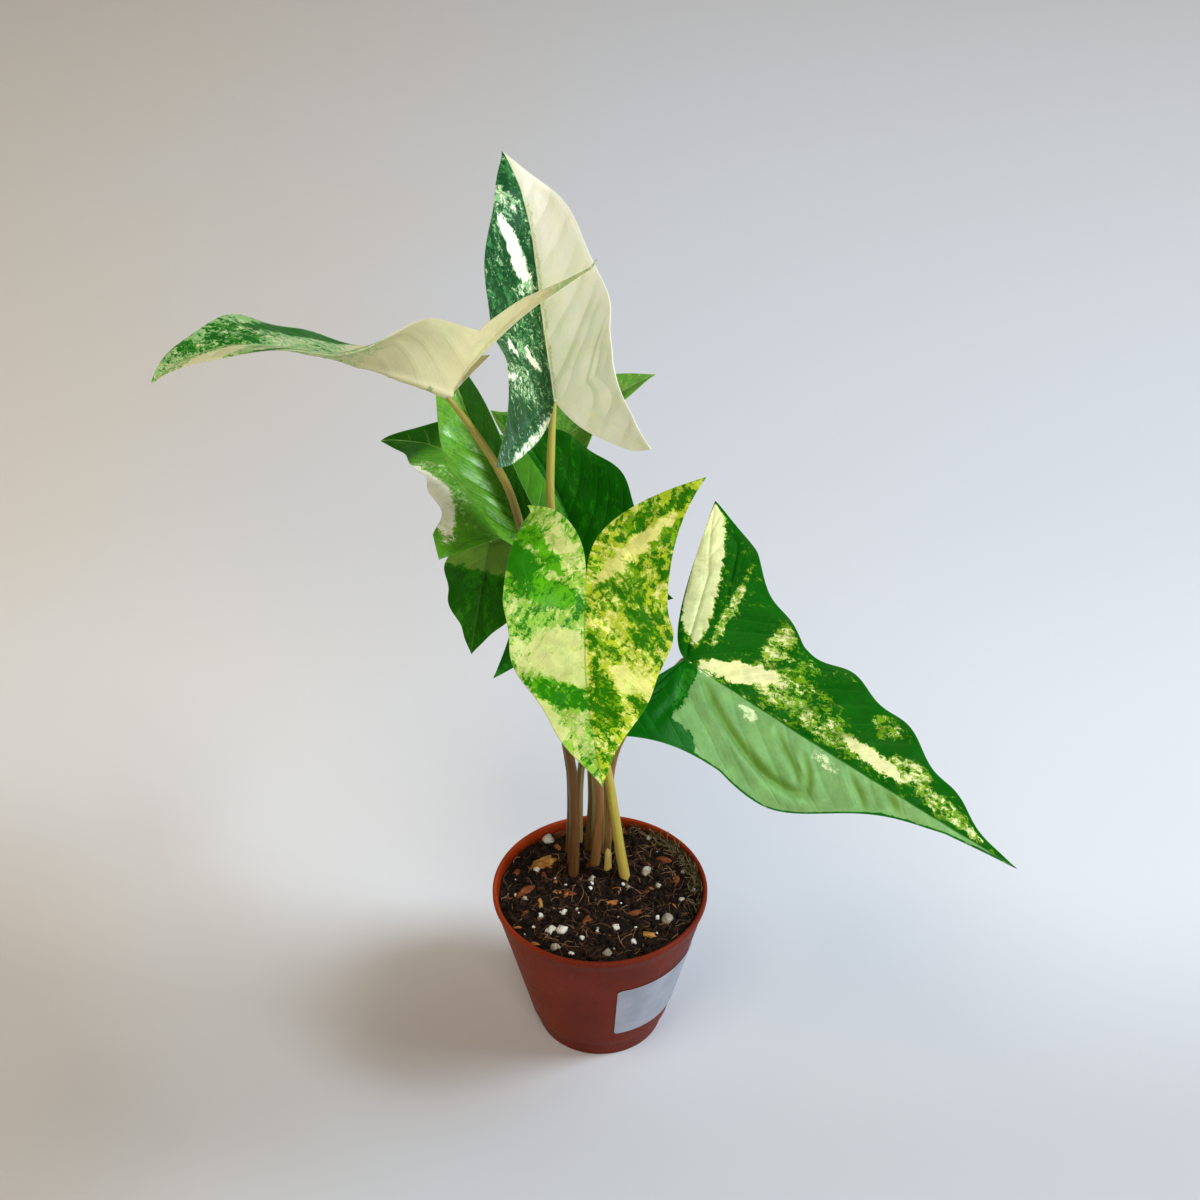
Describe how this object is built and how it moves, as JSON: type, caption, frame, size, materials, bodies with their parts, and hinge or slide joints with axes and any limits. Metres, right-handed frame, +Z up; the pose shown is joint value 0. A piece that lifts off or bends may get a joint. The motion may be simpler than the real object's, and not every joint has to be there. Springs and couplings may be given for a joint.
{
  "type": "potted arrowhead plant",
  "caption": "Young variegated arrowhead plant with arrow-shaped leaves on long thin stalks, standing in soil in a small tapered nursery pot with a bare paper label.",
  "frame": {"origin": "centre of the pot's flat base, on the floor", "axes": "+Z up along the pot's axis; -Y is the front of the plant as pictured, +X its right"},
  "size_m": [0.2143, 0.1749, 0.2746],
  "materials": {
    "pot_plastic": "thin thermoformed terracotta-brown plastic, satin",
    "soil": "dark moist potting mix with perlite and bark",
    "label_paper": "smooth white paper sticker, bare",
    "leaf_lime": "soft satin leaf, cream-yellow and lime mottled with green",
    "leaf_green_cream": "satin leaf, deep green with cream splashes",
    "leaf_cream": "satin leaf, cream with green sectors",
    "leaf_mid_green": "glossy mid-green leaf with cream margin patches",
    "leaf_dark_green": "satin very dark green leaf",
    "sheath": "dry pale-yellow stalk sheath"
  },
  "bodies": {
    "root": {"pot": "pot_plastic", "soil": "soil", "label": "label_paper", "leaf_front": "leaf_lime", "leaf_right": "leaf_green_cream", "leaf_top": "leaf_cream", "leaf_left": "leaf_cream", "leaf_left_back": "leaf_mid_green", "leaf_glossy": "leaf_mid_green", "leaf_hanging": "leaf_dark_green", "leaf_dark": "leaf_dark_green", "leaf_small": "leaf_mid_green", "stalk_stub": "sheath"}
  },
  "joints": []
}
